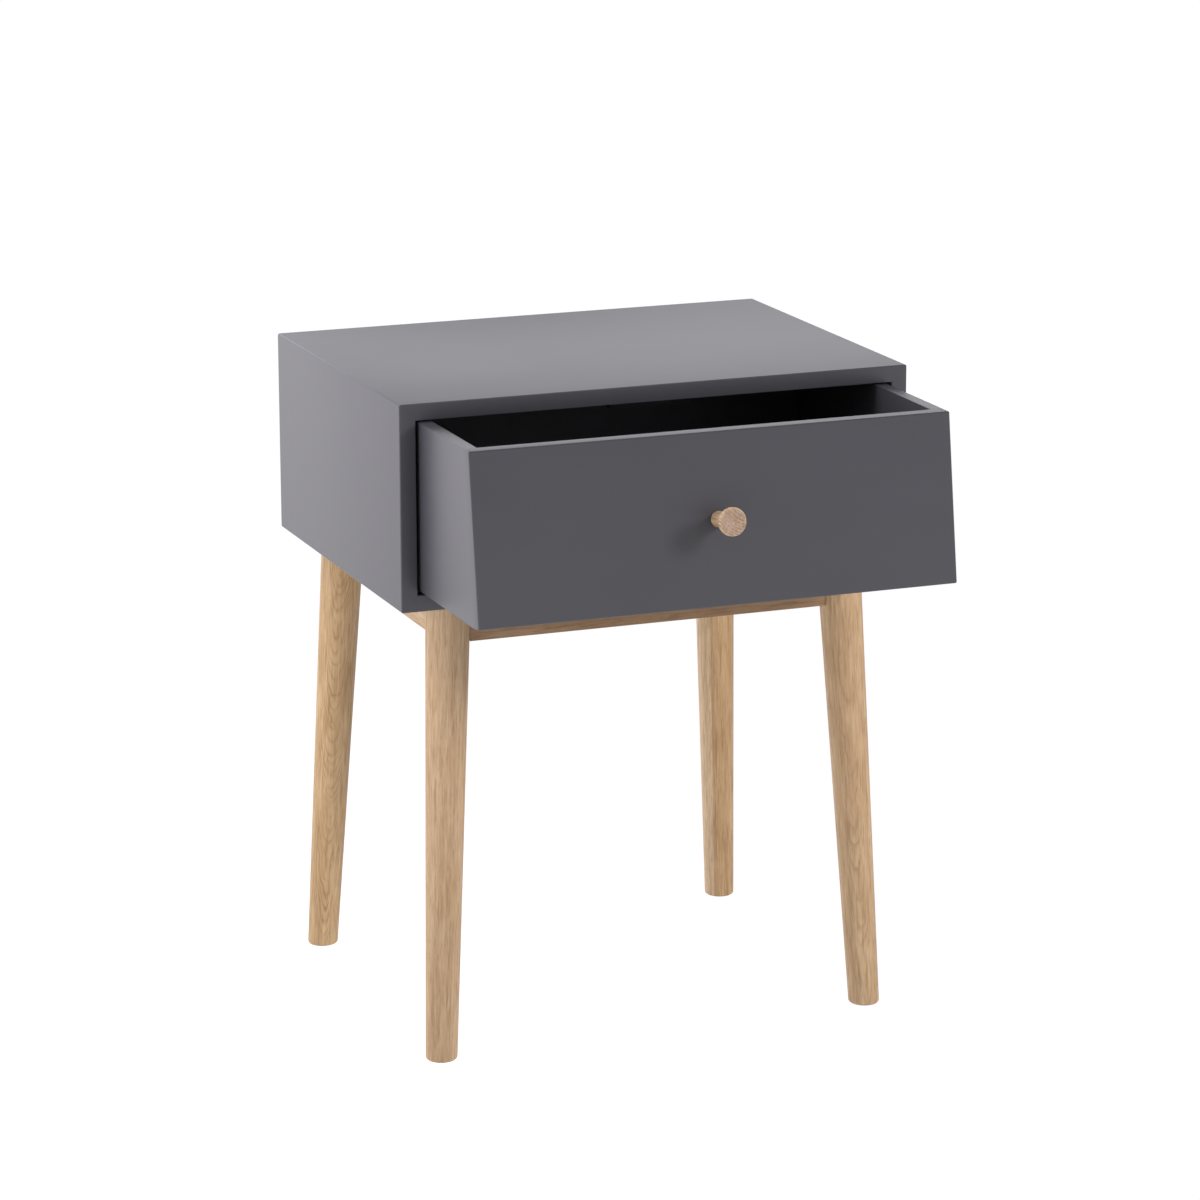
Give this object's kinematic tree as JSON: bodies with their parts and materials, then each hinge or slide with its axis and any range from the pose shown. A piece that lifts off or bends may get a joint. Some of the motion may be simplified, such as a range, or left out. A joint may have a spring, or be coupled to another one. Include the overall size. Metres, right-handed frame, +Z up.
{
  "type": "side table with drawer",
  "caption": "Square-edged grey box case with a pull-out drawer whose front leans back, on an oak frame of splayed, tapered round legs.",
  "frame": {"origin": "on the floor, at the bottom centre of the bounding box with the drawer open as stored", "axes": "+Z up, out of the table's top; -Y to the front, the way the drawer opens; +X to the right as seen from the front"},
  "size_m": [0.48, 0.5336, 0.6],
  "materials": {
    "painted_board": "satin sprayed paint on board, mid grey",
    "oak": "oiled solid oak",
    "plywood": "grey stained plywood",
    "beech": "plain planed beech, hidden",
    "steel": "zinc plated",
    "black_nylon": "moulded",
    "pale_nylon": "moulded"
  },
  "bodies": {
    "table": {"top_board": "painted_board", "bottom_board": "painted_board", "left_side_board": "painted_board", "right_side_board": "painted_board", "back_panel": "painted_board", "leg_front_left": "oak", "leg_front_right": "oak", "leg_rear_left": "oak", "leg_rear_right": "oak", "front_rail": "oak", "rear_rail": "oak", "left_rail": "oak", "right_rail": "oak", "corner_block_front_left": "beech", "corner_block_front_right": "beech", "corner_block_rear_left": "beech", "corner_block_rear_right": "beech", "rear_stop_left": "beech", "rear_stop_right": "beech", "drawer_stop_block": "beech", "dowel_front_left_to_front_rail_1": "beech", "dowel_front_left_to_front_rail_2": "beech", "dowel_front_left_to_left_rail_1": "beech", "dowel_front_left_to_left_rail_2": "beech", "dowel_front_right_to_front_rail_1": "beech", "dowel_front_right_to_front_rail_2": "beech", "dowel_front_right_to_right_rail_1": "beech", "dowel_front_right_to_right_rail_2": "beech", "dowel_rear_left_to_rear_rail_1": "beech", "dowel_rear_left_to_rear_rail_2": "beech", "dowel_rear_left_to_left_rail_1": "beech", "dowel_rear_left_to_left_rail_2": "beech", "dowel_rear_right_to_rear_rail_1": "beech", "dowel_rear_right_to_rear_rail_2": "beech", "dowel_rear_right_to_right_rail_1": "beech", "dowel_rear_right_to_right_rail_2": "beech", "frame_screw_front_left": "steel", "frame_screw_front_right": "steel", "frame_screw_rear_left": "steel", "frame_screw_rear_right": "steel", "stop_block_screw": "steel", "drawer_runner_left": "black_nylon", "drawer_runner_right": "black_nylon", "foot_glide_front_left": "pale_nylon", "foot_glide_front_right": "pale_nylon", "foot_glide_rear_left": "pale_nylon", "foot_glide_rear_right": "pale_nylon"},
    "drawer": {"drawer_front": "painted_board", "drawer_side_left": "painted_board", "drawer_side_right": "painted_board", "drawer_back": "painted_board", "drawer_bottom": "plywood", "drawer_bottom_screw_left": "steel", "drawer_bottom_screw_right": "steel", "knob": "oak", "knob_screw": "steel", "knob_washer": "steel"}
  },
  "joints": [
    {"name": "drawer_slide", "type": "slide", "parent": "table", "child": "drawer", "axis": [0, -1, 0], "range_m": [-0.148, 0.113]}
  ]
}
